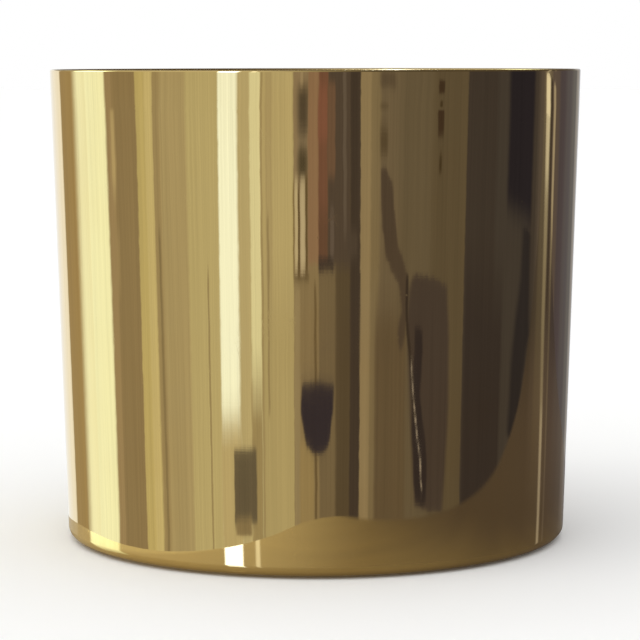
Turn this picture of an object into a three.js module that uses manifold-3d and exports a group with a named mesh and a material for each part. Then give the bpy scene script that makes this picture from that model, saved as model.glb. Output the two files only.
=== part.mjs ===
// A brass planter pot: a shell spun in one piece from sheet, a moulded liner that lifts
// out of it, and four self-adhesive felt feet under its base.
// Millimetres, +Z up. The origin is on the pot's axis, on the surface that it stands on.

import * as THREE from "three";
import { mergeVertices } from "three/addons/utils/BufferGeometryUtils.js";
import Module from "manifold-3d";

// ---- Driving dimensions -------------------------------------------------

// Brass shell
const RIM_RADIUS = 75; // outside of the wall, carried up to the rim's height
const TAPER = 4; // how much smaller the radius is at the foot ring's height
const SHELL_HEIGHT = 132.3; // underside of the foot ring to the top of the rim
const SHEET = 0.9; // thickness of the brass everywhere
const HEEL_BEND = 2.8; // outside radius of the bend between the wall and the foot ring
const FOOT_RING_WIDTH = 4; // flat part of the foot ring
const RECESS_DEPTH = 1.4; // how far the base is pushed up inside the foot ring
const RECESS_UPPER_BEND = 0.9; // underside radius of the bend at the recess's edge
const RECESS_LOWER_BEND = 1.8; // underside radius of the bend where it meets the foot ring

// Felt feet, stuck inside the recess and standing out of it
const FOOT_COUNT = 4;
const FOOT_DIAMETER = 14;
const FOOT_MARGIN = 5; // foot's edge to the recess's edge
const FELT = 1.8; // thickness of the felt
const ADHESIVE = 0.3; // thickness of the adhesive disc that holds the felt

// Liner
const LINER_WALL = 1.6; // thickness of the moulding everywhere but its ribs
const LINER_DROP = 7; // top of the liner's flange below the rim
const FLANGE_CLEARANCE = 1.2; // flange's edge to the inside of the shell
const FLANGE_OVERHANG = 5; // flange's edge beyond the outside of the liner's wall
const FLANGE_SKIRT = 5; // height of the flange's turned-down edge
const FLANGE_BEND = 1.2; // outside radius along the flange's edge
const THROAT_BEND = 2.4; // inside radius from the flange down into the liner
const LINER_BASE_CLEARANCE = 7.7; // liner's wall to the inside of the shell at its base
const LINER_CORNER = 6; // outside radius between the liner's wall and its base
const STAND_MARGIN = 5; // stand ring's outside to the start of the corner's bend
const STAND_WIDTH = 3;
const STAND_HEIGHT = 2;
const RIB_COUNT = 8;
const RIB_WIDTH = 2;
const RIB_HEIGHT = 3; // ribs' tops above the liner's floor
const RING_RIB_RADIUS = 17; // middle of the ring rib that joins the radial ribs
const RIB_MARGIN = 5; // radial rib's outer end to the start of the corner's bend
const GRIP_COUNT = 2;
const GRIP_LENGTH = 28; // finger slot, end to end
const GRIP_HEIGHT = 11;
const GRIP_DROP = 9; // top of the slot below the top of the flange

// Fineness of the round surfaces
const AROUND = 64; // sides of the shell and the liner
const FOOT_SIDES = 32;
const LARGE_BEND_STEPS = 6;
const SMALL_BEND_STEPS = 3;
const SLOT_END_STEPS = 8;
const SAME_POINT = 1e-4; // points closer than this are one point

// ---- Sizes that follow --------------------------------------------------

const DOWN = -Math.PI / 2;
const UP = Math.PI / 2;

const FOOT_Z = FELT + ADHESIVE - RECESS_DEPTH; // underside of the foot ring
const RECESS_Z = FOOT_Z + RECESS_DEPTH; // underside of the recessed base
const RIM_Z = FOOT_Z + SHELL_HEIGHT;
const BASE_RADIUS = RIM_RADIUS - TAPER;
const WALL_LEAN = Math.atan(TAPER / SHELL_HEIGHT);
const RING_OUTER = bendCentre(BASE_RADIUS, HEEL_BEND, WALL_LEAN);
const RING_INNER = RING_OUTER - FOOT_RING_WIDTH;
const RECESS_BENDS = RECESS_UPPER_BEND + RECESS_LOWER_BEND;
const RECESS_TURN = Math.acos(1 - RECESS_DEPTH / RECESS_BENDS);
const RECESS_RADIUS = RING_INNER - RECESS_BENDS * Math.sin(RECESS_TURN);
const FOOT_CIRCLE = RECESS_RADIUS - FOOT_MARGIN - FOOT_DIAMETER / 2;

const LINER_Z = RECESS_Z + SHEET + STAND_HEIGHT; // underside of the liner's base
const FLOOR_Z = LINER_Z + LINER_WALL; // liner's floor
const FLANGE_Z = RIM_Z - LINER_DROP; // top of the liner's flange
const FLANGE_RADIUS = insideShell(FLANGE_Z - FLANGE_SKIRT) - FLANGE_CLEARANCE;
const LINER_TOP_RADIUS = FLANGE_RADIUS - FLANGE_OVERHANG; // outside of the wall at the flange
const LINER_BASE_RADIUS = insideShell(LINER_Z) - LINER_BASE_CLEARANCE;
const LINER_LEAN = Math.atan((LINER_TOP_RADIUS - LINER_BASE_RADIUS) / (FLANGE_Z - LINER_Z));
const CORNER_RADIUS = bendCentre(LINER_BASE_RADIUS, LINER_CORNER, LINER_LEAN);
const STAND_OUTER = CORNER_RADIUS - STAND_MARGIN;
const RIB_OUTER = CORNER_RADIUS - RIB_MARGIN;

// Radius at which the centre of a bend lies between a level base and a wall that leans out
// by an angle and would meet the base's level at wallRadius.
function bendCentre(wallRadius, bend, lean) {
  return wallRadius - (bend * (1 - Math.sin(lean))) / Math.cos(lean);
}

// Inside radius of the brass wall at height z.
function insideShell(z) {
  return BASE_RADIUS + (z - FOOT_Z) * Math.tan(WALL_LEAN) - SHEET / Math.cos(WALL_LEAN);
}

// ---- Outlines, as points of radius and height ---------------------------

const point = (r, z) => new THREE.Vector2(r, z);

// Points of an arc about (r, z), from one angle to another.
function arc(r, z, radius, from, to, steps) {
  return Array.from({ length: steps + 1 }, (_, i) => {
    const angle = from + ((to - from) * i) / steps;
    return point(r + radius * Math.cos(angle), z + radius * Math.sin(angle));
  });
}

// The brass sheet's skin from the axis to the top of the heel, inset from the outside.
function shellSkin(inset) {
  const upperZ = RECESS_Z - RECESS_UPPER_BEND;
  const upper = RECESS_UPPER_BEND + inset;
  const lowerZ = FOOT_Z + RECESS_LOWER_BEND;
  const lower = RECESS_LOWER_BEND - inset;
  const heelZ = FOOT_Z + HEEL_BEND;
  const heel = HEEL_BEND - inset;
  return [
    point(0, RECESS_Z + inset),
    ...arc(RECESS_RADIUS, upperZ, upper, UP, UP - RECESS_TURN, SMALL_BEND_STEPS),
    ...arc(RING_INNER, lowerZ, lower, DOWN - RECESS_TURN, DOWN, SMALL_BEND_STEPS),
    ...arc(RING_OUTER, heelZ, heel, DOWN, -WALL_LEAN, LARGE_BEND_STEPS),
  ];
}

// The section of the shell: up the outside, over the full round of the rim, down the inside.
function shellOutline() {
  const lip = SHEET / 2;
  const lipZ = RIM_Z - lip;
  const lipRadius = insideShell(lipZ) + lip / Math.cos(WALL_LEAN);
  return [
    ...shellSkin(0),
    ...arc(lipRadius, lipZ, lip, -WALL_LEAN, Math.PI - WALL_LEAN, LARGE_BEND_STEPS),
    ...shellSkin(SHEET).reverse(),
  ];
}

// The bend between the liner's base and wall, inset from the outside.
function linerCorner(inset) {
  const bend = LINER_CORNER - inset;
  return arc(CORNER_RADIUS, LINER_Z + LINER_CORNER, bend, DOWN, -LINER_LEAN, LARGE_BEND_STEPS);
}

// The ring that the liner stands on, as a step in the underside of its outline.
function standRing() {
  const inner = STAND_OUTER - STAND_WIDTH;
  const bottom = LINER_Z - STAND_HEIGHT;
  return [
    point(inner, LINER_Z),
    point(inner, bottom),
    point(STAND_OUTER, bottom),
    point(STAND_OUTER, LINER_Z),
  ];
}

// The flange: out from the wall along its underside, round its skirt, and back over the top
// into the throat.
function flange() {
  const under = FLANGE_Z - LINER_WALL;
  const skirtZ = FLANGE_Z - FLANGE_SKIRT;
  const skirtInner = FLANGE_RADIUS - LINER_WALL;
  const edge = FLANGE_RADIUS - FLANGE_BEND;
  const throat = LINER_TOP_RADIUS - LINER_WALL / Math.cos(LINER_LEAN) + THROAT_BEND;
  const throatEnd = Math.PI - LINER_LEAN;
  return [
    point(LINER_TOP_RADIUS - LINER_WALL * Math.tan(LINER_LEAN), under),
    point(skirtInner, under),
    point(skirtInner, skirtZ),
    point(FLANGE_RADIUS, skirtZ),
    ...arc(edge, FLANGE_Z - FLANGE_BEND, FLANGE_BEND, 0, UP, SMALL_BEND_STEPS),
    ...arc(throat, FLANGE_Z - THROAT_BEND, THROAT_BEND, UP, throatEnd, SMALL_BEND_STEPS),
  ];
}

// The section of the liner: along its underside, up the outside, round the flange, down inside.
function linerOutline() {
  return [
    point(0, LINER_Z),
    ...standRing(),
    ...linerCorner(0),
    ...flange(),
    ...linerCorner(LINER_WALL).reverse(),
    point(0, FLOOR_Z),
  ];
}

// The section of the ring rib, closed on itself and let halfway into the floor.
function ringRibOutline() {
  const inner = RING_RIB_RADIUS - RIB_WIDTH / 2;
  const outer = inner + RIB_WIDTH;
  const bottom = FLOOR_Z - LINER_WALL / 2;
  const top = FLOOR_Z + RIB_HEIGHT;
  return [
    point(inner, bottom),
    point(outer, bottom),
    point(outer, top),
    point(inner, top),
    point(inner, bottom),
  ];
}

// ---- Shapes -------------------------------------------------------------

const wasm = await Module();
wasm.setup();

// An outline turned about the Z axis.
function turned(outline, sides) {
  return new THREE.LatheGeometry(outline, sides).rotateX(UP);
}

function solidOf(geometry) {
  const bare = geometry.clone();
  bare.deleteAttribute("normal");
  bare.deleteAttribute("uv");
  const merged = mergeVertices(bare, SAME_POINT);
  const mesh = new wasm.Mesh({
    numProp: 3,
    vertProperties: merged.attributes.position.array,
    triVerts: new Uint32Array(merged.index.array),
  });
  return new wasm.Manifold(mesh);
}

function geometryOf(solid) {
  const mesh = solid.getMesh();
  const geometry = new THREE.BufferGeometry();
  geometry.setAttribute("position", new THREE.BufferAttribute(mesh.vertProperties, 3));
  geometry.setIndex(new THREE.BufferAttribute(mesh.triVerts, 1));
  geometry.computeVertexNormals();
  return geometry;
}

// A radial rib on the liner's floor, let halfway into the floor and into the ring rib.
function radialRib(angle) {
  const length = RIB_OUTER - RING_RIB_RADIUS;
  const bottom = FLOOR_Z - LINER_WALL / 2;
  const height = FLOOR_Z + RIB_HEIGHT - bottom;
  return new THREE.BoxGeometry(length, RIB_WIDTH, height)
    .translate(RING_RIB_RADIUS + length / 2, 0, bottom + height / 2)
    .rotateZ(angle);
}

// A cutter for a finger slot with round ends, through the liner's wall along an angle.
function gripSlot(angle) {
  const end = GRIP_HEIGHT / 2;
  const half = GRIP_LENGTH / 2 - end;
  const outline = new THREE.Shape([
    ...arc(half, 0, end, DOWN, UP, SLOT_END_STEPS),
    ...arc(-half, 0, end, UP, UP + Math.PI, SLOT_END_STEPS),
  ]);
  const start = LINER_BASE_RADIUS / 2;
  return new THREE.ExtrudeGeometry(outline, { depth: RIM_RADIUS - start, bevelEnabled: false })
    .rotateX(UP)
    .rotateZ(UP)
    .translate(start, 0, FLANGE_Z - GRIP_DROP - end)
    .rotateZ(angle);
}

// Angles evenly spaced round the axis, the first of them at offset.
function evenly(count, offset = 0) {
  return Array.from({ length: count }, (_, i) => offset + (2 * Math.PI * i) / count);
}

function linerGeometry() {
  let liner = solidOf(turned(linerOutline(), AROUND));
  liner = liner.add(solidOf(turned(ringRibOutline(), FOOT_SIDES)));
  for (const angle of evenly(RIB_COUNT)) {
    liner = liner.add(solidOf(radialRib(angle)));
  }
  for (const angle of evenly(GRIP_COUNT)) {
    liner = liner.subtract(solidOf(gripSlot(angle)));
  }
  return geometryOf(liner);
}

// A foot's disc of one thickness, standing on height z.
function footDisc(thickness, z) {
  const radius = FOOT_DIAMETER / 2;
  return new THREE.CylinderGeometry(radius, radius, thickness, FOOT_SIDES)
    .rotateX(UP)
    .translate(0, 0, z + thickness / 2);
}

// ---- Looks --------------------------------------------------------------

const POLISHED_BRASS = { color: 0xc9a453, roughness: 0.12, metalness: 1 };
const DARK_PLASTIC = { color: 0x26241f, roughness: 0.55, metalness: 0 };
const BROWN_FELT = { color: 0x3d332b, roughness: 0.95, metalness: 0 };
const PALE_ADHESIVE = { color: 0xd9d4c4, roughness: 0.35, metalness: 0 };

// ---- The pot ------------------------------------------------------------

const planter = new THREE.Group();

function addPiece(name, geometry, look, x = 0, y = 0) {
  const mesh = new THREE.Mesh(geometry, new THREE.MeshStandardMaterial(look));
  mesh.name = name;
  mesh.position.set(x, y, 0);
  planter.add(mesh);
}

addPiece("brass_shell", turned(shellOutline(), AROUND), POLISHED_BRASS);
addPiece("inner_liner", linerGeometry(), DARK_PLASTIC);

evenly(FOOT_COUNT, Math.PI / FOOT_COUNT).forEach((angle, i) => {
  const x = FOOT_CIRCLE * Math.cos(angle);
  const y = FOOT_CIRCLE * Math.sin(angle);
  addPiece(`felt_foot_${i + 1}`, footDisc(FELT, 0), BROWN_FELT, x, y);
  addPiece(`foot_adhesive_${i + 1}`, footDisc(ADHESIVE, FELT), PALE_ADHESIVE, x, y);
});

export default planter;
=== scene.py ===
"""The looks of a polished brass planter pot with a lift-out liner and felt feet.

Metres, +Z up, with the origin on the pot's axis on the surface that it stands on. Every
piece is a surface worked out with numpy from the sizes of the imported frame.
"""

import math

import bpy
import numpy as np
from mathutils import Matrix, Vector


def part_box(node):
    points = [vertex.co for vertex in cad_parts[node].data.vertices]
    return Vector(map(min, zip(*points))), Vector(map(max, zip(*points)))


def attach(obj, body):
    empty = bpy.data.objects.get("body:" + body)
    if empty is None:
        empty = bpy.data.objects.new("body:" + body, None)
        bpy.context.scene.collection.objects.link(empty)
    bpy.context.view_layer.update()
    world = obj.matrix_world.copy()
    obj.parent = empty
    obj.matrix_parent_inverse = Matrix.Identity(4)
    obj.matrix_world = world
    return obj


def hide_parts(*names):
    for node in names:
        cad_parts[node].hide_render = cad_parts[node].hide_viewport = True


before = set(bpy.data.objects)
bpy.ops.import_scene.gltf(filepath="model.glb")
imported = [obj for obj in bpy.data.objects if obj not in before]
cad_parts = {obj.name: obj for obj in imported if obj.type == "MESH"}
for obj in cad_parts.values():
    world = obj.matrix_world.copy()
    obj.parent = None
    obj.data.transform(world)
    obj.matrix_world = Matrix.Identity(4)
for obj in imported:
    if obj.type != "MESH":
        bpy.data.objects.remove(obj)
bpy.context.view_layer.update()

# ---- Sizes ----

MM = 0.001
QUARTER = math.pi / 2

shell_low, shell_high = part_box("brass_shell")
liner_low, liner_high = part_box("inner_liner")
film_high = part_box("foot_adhesive_1")[1]

# The brass shell, with the sizes that its box doesn't give.
TAPER = 4 * MM
SHEET = 0.9 * MM
HEEL_BEND = 2.8 * MM
FOOT_RING_WIDTH = 4 * MM
RECESS_UPPER_BEND = 0.9 * MM
RECESS_LOWER_BEND = 1.8 * MM

RIM_Z = shell_high.z
FOOT_Z = shell_low.z
RECESS_Z = film_high.z
SHELL_HEIGHT = RIM_Z - FOOT_Z
WALL_LEAN = math.atan(TAPER / SHELL_HEIGHT)
RIM_RADIUS = shell_high.x + SHEET / 2 * math.tan(WALL_LEAN)
BASE_RADIUS = RIM_RADIUS - TAPER

# The liner.
LINER_WALL = 1.6 * MM
FLANGE_OVERHANG = 5 * MM
FLANGE_SKIRT = 5 * MM
FLANGE_BEND = 1.2 * MM
THROAT_BEND = 2.4 * MM
LINER_BASE_CLEARANCE = 7.7 * MM
LINER_CORNER = 6 * MM
STAND_MARGIN = 5 * MM
STAND_WIDTH = 3 * MM
STAND_HEIGHT = 2 * MM
RIB_COUNT = 8
RIB_WIDTH = 2 * MM
RIB_HEIGHT = 3 * MM
RIB_DRAFT = 0.35 * MM  # how far a rib's side leans out from its top to the floor
RING_RIB_RADIUS = 17 * MM
RIB_MARGIN = 5 * MM
GRIP_LENGTH = 28 * MM
GRIP_HEIGHT = 11 * MM
GRIP_DROP = 9 * MM
EDGE = 0.3 * MM  # small rounding of a moulded edge

FLANGE_Z = liner_high.z
LINER_Z = liner_low.z + STAND_HEIGHT
FLANGE_RADIUS = liner_high.x

# ---- Profiles ----


def line(start, end, steps):
    """Points from start up to, but not including, end. They lie closer together at both
    ends: start + (end - start) (1 - cos(pi u)) / 2 for u from 0 to 1."""
    u = np.linspace(0, 1, steps + 1)[:-1, None]
    start, end = np.array(start), np.array(end)
    return start + (end - start) * (1 - np.cos(np.pi * u)) / 2


def arc(centre, radius, start, end, steps):
    """Points of a circle: centre + radius (cos a, sin a) for evenly spaced angles a."""
    angle = np.linspace(start, end, steps + 1)
    return np.array(centre) + radius * np.stack([np.cos(angle), np.sin(angle)], axis=1)


def joined(*stretches):
    """One profile from arcs, with a graded line of the given number of steps between each
    arc's end and the next one's start. Numbers are those steps."""
    points = []
    for index, stretch in enumerate(stretches):
        if isinstance(stretch, int):
            before, after = stretches[index - 1], stretches[index + 1]
            points.append(line(before[-1], after[0], stretch)[1:])
        else:
            points.append(stretch)
    return np.concatenate(points)


def bend_centre(wall_radius, bend, lean):
    """Radius of the centre of a bend between a level base and a wall that leans out:
    wall radius - bend (1 - sin lean) / cos lean."""
    return wall_radius - bend * (1 - math.sin(lean)) / math.cos(lean)


def inside_shell(z):
    """Inside radius of the brass wall at height z."""
    return BASE_RADIUS + (z - FOOT_Z) * math.tan(WALL_LEAN) - SHEET / math.cos(WALL_LEAN)


# ---- Meshes ----


def grid_faces(rows, columns, first=0):
    """Quads of a grid whose columns close on themselves: row i, column j joins to row
    i + 1 and column j + 1, and the last column joins to the first."""
    i, j = np.meshgrid(np.arange(rows - 1), np.arange(columns), indexing="ij")
    right = (j + 1) % columns
    quads = np.stack([i * columns + j, i * columns + right,
                      (i + 1) * columns + right, (i + 1) * columns + j], axis=-1)
    return quads.reshape(-1, 4) + first


def fan(row_start, columns, pole, upwards):
    """Triangles from one row of a closed grid to a single point."""
    j = np.arange(columns)
    ring = row_start + np.stack([j, (j + 1) % columns], axis=-1)
    if not upwards:
        ring = ring[:, ::-1]
    return np.column_stack([ring, np.full(columns, pole)])


def mesh_piece(name, points, quads, triangles=(), attributes=()):
    """A smooth-shaded mesh object in the scene from whole arrays of points and faces."""
    corners = np.concatenate([np.ravel(quads), np.ravel(triangles)]).astype(np.int32)
    sizes = np.concatenate([np.full(len(quads), 4), np.full(len(triangles), 3)])
    starts = np.concatenate([[0], np.cumsum(sizes)[:-1]])
    mesh = bpy.data.meshes.new(name)
    mesh.vertices.add(len(points))
    mesh.vertices.foreach_set("co", np.ravel(points).astype(np.float32))
    mesh.loops.add(len(corners))
    mesh.loops.foreach_set("vertex_index", corners)
    mesh.polygons.add(len(sizes))
    mesh.polygons.foreach_set("loop_start", starts.astype(np.int32))
    mesh.polygons.foreach_set("use_smooth", np.ones(len(sizes), bool))
    for key, values in dict(attributes).items():
        layer = mesh.attributes.new(key, "FLOAT", "POINT")
        layer.data.foreach_set("value", np.ravel(values).astype(np.float32))
    mesh.update(calc_edges=True)
    mesh.validate()
    piece = bpy.data.objects.new(name, mesh)
    bpy.context.scene.collection.objects.link(piece)
    return piece


def turned(profile, columns, warp=None):
    """Points and faces of a profile turned about the Z axis: (r cos t, r sin t, z). The
    profile's first and last points are on the axis and become single points. warp moves
    the points of the grid, given its angles t and the profile."""
    rows = profile[1:-1]
    angle = np.linspace(0, 2 * np.pi, columns, endpoint=False)
    t, r = np.meshgrid(angle, rows[:, 0])
    z = np.broadcast_to(rows[:, 1:], t.shape)
    if warp:
        r, z = warp(t, r, z)
    ring = np.stack([r * np.cos(t), r * np.sin(t), z], axis=-1).reshape(-1, 3)
    poles = np.array([[0, 0, profile[0, 1]], [0, 0, profile[-1, 1]]])
    quads = grid_faces(len(rows), columns)
    last = (len(rows) - 1) * columns
    start_fan = fan(0, columns, len(ring), upwards=False)
    end_fan = fan(last, columns, len(ring) + 1, upwards=True)
    return np.concatenate([ring, poles]), quads, np.concatenate([start_fan, end_fan])


# ---- Brass shell ----

AROUND = 360
rng = np.random.default_rng(7)

# What is left in the wall, in metres: how many waves go round it and how deep they are,
# how far apart the rings up it are and how deep, and the dents.
WAVES = ((3, 60e-6), (7, 18e-6), (13, 9e-6), (21, 5e-6), (34, 2.4e-6))
RINGS = ((23 * MM, 2.4e-6), (9 * MM, 0.5e-6))
DENT_COUNT = 14
DENT_MARGIN = 12 * MM  # how far the dents keep from the rim and the foot
TRUE_RIM = 10 * MM  # how far below the rim the wall starts to be out of true


def shell_bends(inset):
    """The bends of the sheet's skin from the recess's edge to the heel, inset from the
    outside: two arcs that turn down out of the recess and back, then the heel."""
    bends = RECESS_UPPER_BEND + RECESS_LOWER_BEND
    turn = math.acos(1 - (RECESS_Z - FOOT_Z) / bends)
    ring_outer = bend_centre(BASE_RADIUS, HEEL_BEND, WALL_LEAN)
    ring_inner = ring_outer - FOOT_RING_WIDTH
    recess = ring_inner - bends * math.sin(turn)
    upper = arc((recess, RECESS_Z - RECESS_UPPER_BEND), RECESS_UPPER_BEND + inset,
                QUARTER, QUARTER - turn, 6)
    lower = arc((ring_inner, FOOT_Z + RECESS_LOWER_BEND), RECESS_LOWER_BEND - inset,
                -QUARTER - turn, -QUARTER, 6)
    heel = arc((ring_outer, FOOT_Z + HEEL_BEND), HEEL_BEND - inset, -QUARTER, -WALL_LEAN, 12)
    return upper, lower[1:], heel


def shell_profile():
    """The shell's section from the axis under the base, up the outside, over the round of
    the rim, down the inside and back to the axis. Also how far round it each skin goes:
    0 outside, 1 inside, and 1 on the underside."""
    lip = SHEET / 2
    lip_z = RIM_Z - lip
    lip_radius = inside_shell(lip_z) + lip / math.cos(WALL_LEAN)
    under, ring, heel = shell_bends(0)
    inner_under, inner_ring, inner_heel = shell_bends(SHEET)
    rim = arc((lip_radius, lip_z), lip, -WALL_LEAN, math.pi - WALL_LEAN, 12)
    outside = joined(np.array([[0, RECESS_Z]]), 14, under, ring, 3, heel, 108, rim[:7])
    inside = joined(rim[7:], 50, inner_heel[::-1], 2, inner_ring[::-1], inner_under[::-1],
                    8, np.array([[0, RECESS_Z + SHEET]]))
    profile = np.concatenate([outside, inside])
    within = np.r_[np.zeros(len(outside)), np.ones(len(inside))]
    below = np.clip((HEEL_BEND * 0.6 + FOOT_Z - profile[:, 1]) / (HEEL_BEND * 0.4), 0, 1)
    return profile, within, below * (1 - within)


def hand_finish(t, r, z):
    """What spinning and hand polishing leave in the wall: a few waves round it,
    sum of a cos(k t + q z + p), rings up it, and shallow dents, each a bell curve."""
    height = (z - FOOT_Z) / SHELL_HEIGHT
    below_rim = np.clip((RIM_Z - z) / TRUE_RIM, 0, 1)
    on_wall = np.clip(height * 12, 0, 1) * below_rim**2 * (r > BASE_RADIUS * 0.9)
    drift = np.zeros_like(r)
    for count, depth in WAVES:
        sweep = rng.uniform(-25, 25)
        phase = rng.uniform(0, 2 * np.pi)
        drift = drift + depth * np.cos(count * t + sweep * z + phase)
    for length, depth in RINGS:
        phase = rng.uniform(0, 2 * np.pi)
        drift = drift + depth * np.cos(2 * np.pi * z / length + phase + 0.6 * np.cos(2 * t))
    for _ in range(DENT_COUNT):
        t0 = rng.uniform(0, 2 * np.pi)
        z0 = rng.uniform(FOOT_Z + DENT_MARGIN, RIM_Z - DENT_MARGIN)
        width = rng.uniform(2.5, 6) * MM
        depth = rng.uniform(2e-6, 6e-6)
        across = (np.mod(t - t0 + np.pi, 2 * np.pi) - np.pi) * RIM_RADIUS
        drift = drift - depth * np.exp(-(across**2 + (z - z0) ** 2) / width**2)
    return r + drift * on_wall, z


def brass_shell():
    """The pot itself: one sheet of brass, turned from its section."""
    profile, within, below = shell_profile()
    points, quads, triangles = turned(profile, AROUND, hand_finish)
    per_row = {"inside": within, "underside": below}
    attributes = {
        key: np.r_[np.repeat(values[1:-1], AROUND), values[0], values[-1]]
        for key, values in per_row.items()
    }
    return mesh_piece("polished_shell", points, quads, triangles, attributes)


# ---- Liner ----

LINER_AROUND = 384
INNERMOST = 12 * MM  # nearer to the axis than this, the liner's columns run straight in
RIB_COLUMNS = np.array([0, 0.5, 0.8, 1.0, 1.35, 1.9]) * MM  # how far from a rib's line


def liner_sections():
    """The liner's section in three stretches: under the base and up the outside to the
    flange, round the flange, and down the inside to the floor. The wall's two stretches
    have the same number of points, so that the finger slots pass straight through."""
    flange_low = FLANGE_Z - FLANGE_SKIRT
    flange_radius = FLANGE_RADIUS
    top_radius = flange_radius - FLANGE_OVERHANG
    base_radius = inside_shell(LINER_Z) - LINER_BASE_CLEARANCE
    lean = math.atan((top_radius - base_radius) / (FLANGE_Z - LINER_Z))
    corner = bend_centre(base_radius, LINER_CORNER, lean)
    stand_outer = corner - STAND_MARGIN
    stand_inner = stand_outer - STAND_WIDTH
    stand_z = LINER_Z - STAND_HEIGHT
    skirt_inner = flange_radius - LINER_WALL
    under = FLANGE_Z - LINER_WALL
    throat = top_radius - LINER_WALL / math.cos(lean) + THROAT_BEND

    def edge(r, z, start, end):
        """A small rounded edge whose corner would be at (r, z)."""
        inward = np.array([math.cos((start + end) / 2), math.sin((start + end) / 2)])
        centre = np.array([r, z]) - EDGE * math.sqrt(2) * inward
        return arc(centre, EDGE, start, end, 3)

    base = joined(
        np.array([[0, LINER_Z]]), 6,
        np.array([[stand_inner, LINER_Z]]), 2,
        edge(stand_inner, stand_z, -math.pi, -QUARTER), 2,
        edge(stand_outer, stand_z, -QUARTER, 0), 2,
        np.array([[stand_outer, LINER_Z]]), 2,
        arc((corner, LINER_Z + LINER_CORNER), LINER_CORNER, -QUARTER, -lean, 8),
    )
    wall_foot = base[-1]
    wall_top = np.array([top_radius - LINER_WALL * math.tan(lean), under])
    flange = joined(
        wall_top[None], 3,
        np.array([[skirt_inner, under]]), 2,
        edge(skirt_inner, flange_low, -math.pi, -QUARTER), 1,
        edge(flange_radius, flange_low, -QUARTER, 0), 2,
        arc((flange_radius - FLANGE_BEND, FLANGE_Z - FLANGE_BEND), FLANGE_BEND, 0, QUARTER, 6), 2,
        arc((throat, FLANGE_Z - THROAT_BEND), THROAT_BEND, QUARTER, math.pi - lean, 8),
    )
    inner_corner = arc((corner, LINER_Z + LINER_CORNER), LINER_CORNER - LINER_WALL,
                       -lean, -QUARTER, 8)
    rib_end = corner - RIB_MARGIN
    floor_radii = np.r_[
        rib_end + np.array([2.0, 1.2, 0.6, 0.2, 0, -0.5]) * MM,
        np.linspace(rib_end - 2 * MM, RING_RIB_RADIUS + 3 * MM, 14),
        RING_RIB_RADIUS + np.array([1.6, 1.35, 1.0, 0.5, 0, -0.5, -1.0, -1.35, -1.6]) * MM,
        np.linspace(RING_RIB_RADIUS - 3 * MM, 4 * MM, 5),
    ]
    floor = np.column_stack([floor_radii, np.full(len(floor_radii), LINER_Z + LINER_WALL)])
    centre = np.array([[0, LINER_Z + LINER_WALL]])
    return base, wall_foot, flange, inner_corner, np.concatenate([floor, centre]), rib_end


SLOT_ROWS = 10  # rows of the wall across a finger slot
SLOT_COLUMNS = 26  # columns of the wall across a finger slot
SLOT_TURNS = (0, np.pi)
SLOT_REACH = GRIP_LENGTH * 1.2  # how far along the wall from its middle a slot moves points


def wall_heights(low, high):
    """Heights of the wall's rows from low to high, with SLOT_ROWS even steps across the
    finger slots. Also the first and last of the slots' rows."""
    slot_high = FLANGE_Z - GRIP_DROP
    slot_low = slot_high - GRIP_HEIGHT
    below = np.linspace(low, slot_low, 19)[:-1]
    across = np.linspace(slot_low, slot_high, SLOT_ROWS + 1)
    above = np.linspace(slot_high, high, 5)[1:]
    return np.r_[below, across, above], len(below), len(below) + SLOT_ROWS


def round_slot(x, y):
    """Moves points near a slot so that the edge of its box, of half sizes a and b, becomes
    a slot with round ends: a point at m times the box, in the slot's own direction, moves
    to m times the slot, and less and less up to twice the box."""
    a, b = GRIP_LENGTH / 2, GRIP_HEIGHT / 2
    m = np.maximum(np.maximum(np.abs(x) / a, np.abs(y) / b), 1e-9)
    edge_x, edge_y = x / m, y / m
    beyond = np.maximum(np.abs(edge_x) - (a - b), 0)
    reach = np.hypot(beyond, edge_y)
    shrink = np.where(beyond > 0, b / np.maximum(reach, 1e-9), 1.0)
    slot_x = np.sign(edge_x) * (np.minimum(np.abs(edge_x), a - b) + beyond * shrink)
    slot_y = edge_y * shrink
    fade = np.clip((m - 1) / 1.2, 0, 1)
    fade = fade * fade * (3 - 2 * fade)
    return x + (slot_x * m - x) * (1 - fade), y + (slot_y * m - y) * (1 - fade)


def rib_height(x, y, rib_end):
    """Height of the ribs above the floor at points of it: full within half a rib's width
    of the ring rib's circle or of a radial rib's line, and sloping to nothing over the
    draft beyond that."""
    r = np.hypot(x, y)
    t = np.arctan2(y, x)
    sector = 2 * np.pi / RIB_COUNT
    off = np.mod(t + sector / 2, sector) - sector / 2
    across = np.abs(r * np.sin(off))
    beyond_end = np.maximum(r - rib_end, 0) + np.maximum(RING_RIB_RADIUS - r, 0)
    from_radial = np.hypot(across, beyond_end)
    from_ring = np.abs(r - RING_RIB_RADIUS)
    distance = np.minimum(from_radial, from_ring)
    return RIB_HEIGHT * np.clip(1 - (distance - RIB_WIDTH / 2) / RIB_DRAFT, 0, 1)


def column_angles(r):
    """Angles of the liner's columns at each radius. In each sector a few columns keep to
    set distances from the rib's line, so that its sides are straight: t = asin(d / r), and
    the others are spread evenly over the rest of the sector."""
    sector = 2 * np.pi / RIB_COUNT
    per_half = LINER_AROUND // RIB_COUNT // 2
    near = np.arcsin(RIB_COLUMNS[None] / np.maximum(r, INNERMOST)[:, None])
    left = per_half - len(RIB_COLUMNS) + 1
    share = np.arange(1, left)[None] / left
    far = near[:, -1:] + (sector / 2 - near[:, -1:]) * share
    half = np.concatenate([near, far], axis=1)
    middle = np.full((len(r), 1), sector / 2)
    whole = np.concatenate([-half[:, :0:-1], half, middle], axis=1)
    turns = sector * np.arange(RIB_COUNT)
    return (whole[:, None, :] + turns[None, :, None]).reshape(len(r), -1)


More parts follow.
